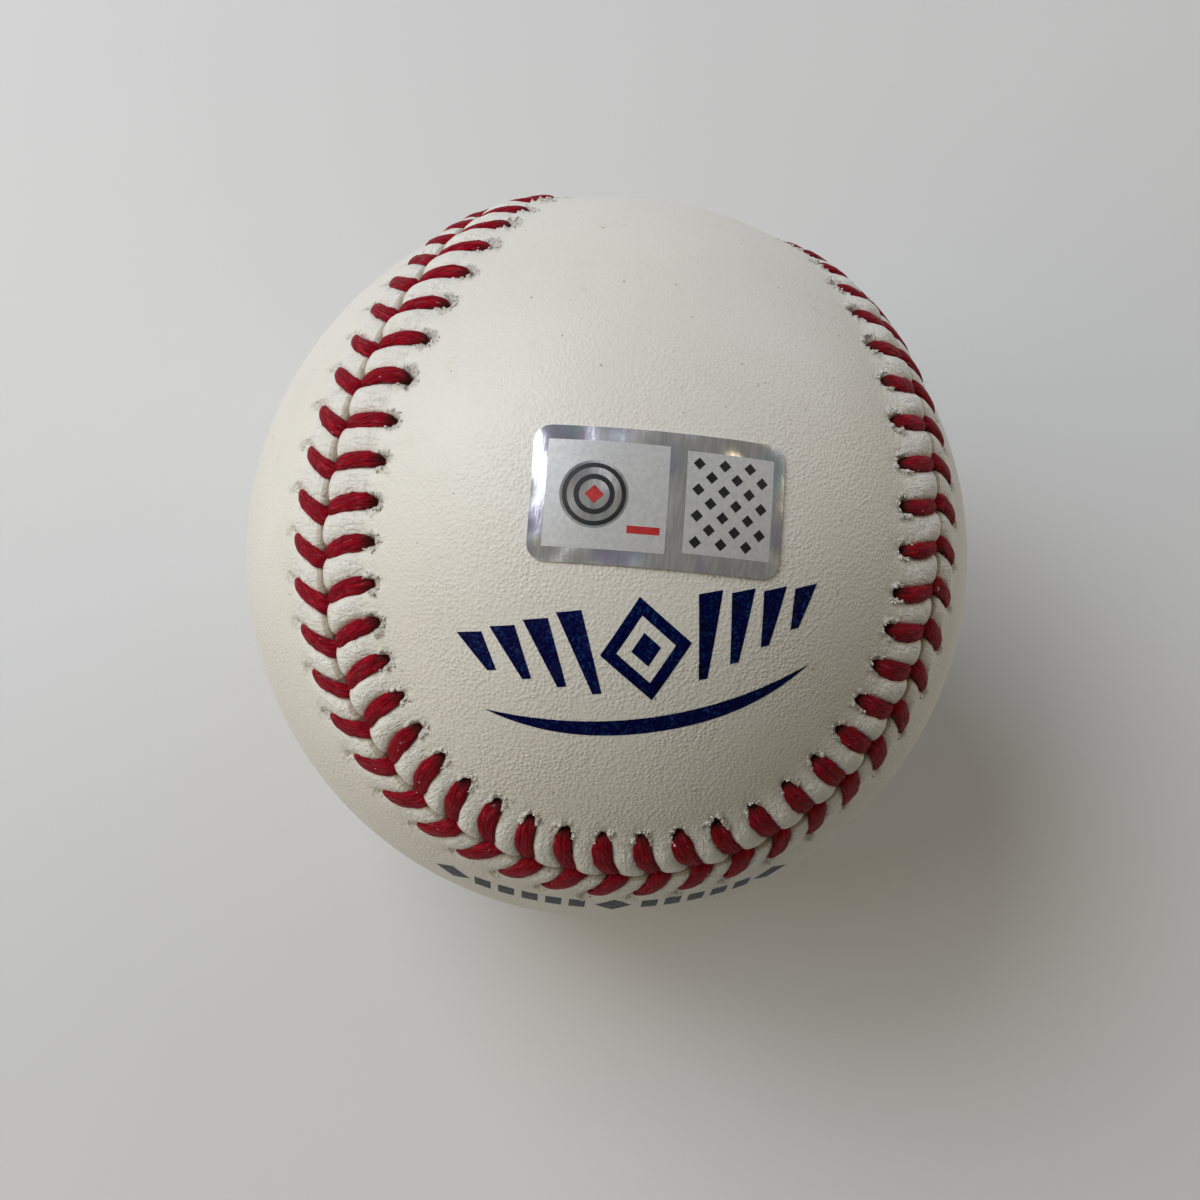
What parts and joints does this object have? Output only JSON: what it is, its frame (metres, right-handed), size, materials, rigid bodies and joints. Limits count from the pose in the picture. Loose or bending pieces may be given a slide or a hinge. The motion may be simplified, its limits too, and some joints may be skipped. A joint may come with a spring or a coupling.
{
  "type": "baseball",
  "caption": "Wound leather ball: two peanut-shaped cover panels laced with red thread over wool windings and a cork and rubber core.",
  "frame": {"origin": "centre of the ball", "axes": "+Z through the middle of one lobe of panel A, +Y through the middle of panel A's waist, +X through the middle of one lobe of panel B"},
  "size_m": [0.074, 0.074, 0.0741],
  "materials": {
    "leather": "alum-tanned ivory leather, fine grain, satin",
    "thread": "waxed red thread",
    "cork": "bonded cork",
    "black_rubber": "matte black rubber",
    "red_rubber": "matte red rubber",
    "grey_wool": "wound grey yarn",
    "white_wool": "wound white yarn",
    "cement": "dried rubber cement",
    "foil": "embossed silver foil"
  },
  "bodies": {
    "root": {"cork_core": "cork", "inner_rubber_upper": "black_rubber", "inner_rubber_lower": "black_rubber", "core_gasket": "red_rubber", "outer_rubber_shell": "red_rubber", "first_winding": "grey_wool", "second_winding": "white_wool", "third_winding": "grey_wool", "finishing_winding": "white_wool", "cement_coat": "cement", "cover_panel_a": "leather", "cover_panel_b": "leather", "seam_thread_first": "thread", "seam_thread_second": "thread", "foil_label": "foil"}
  },
  "joints": []
}
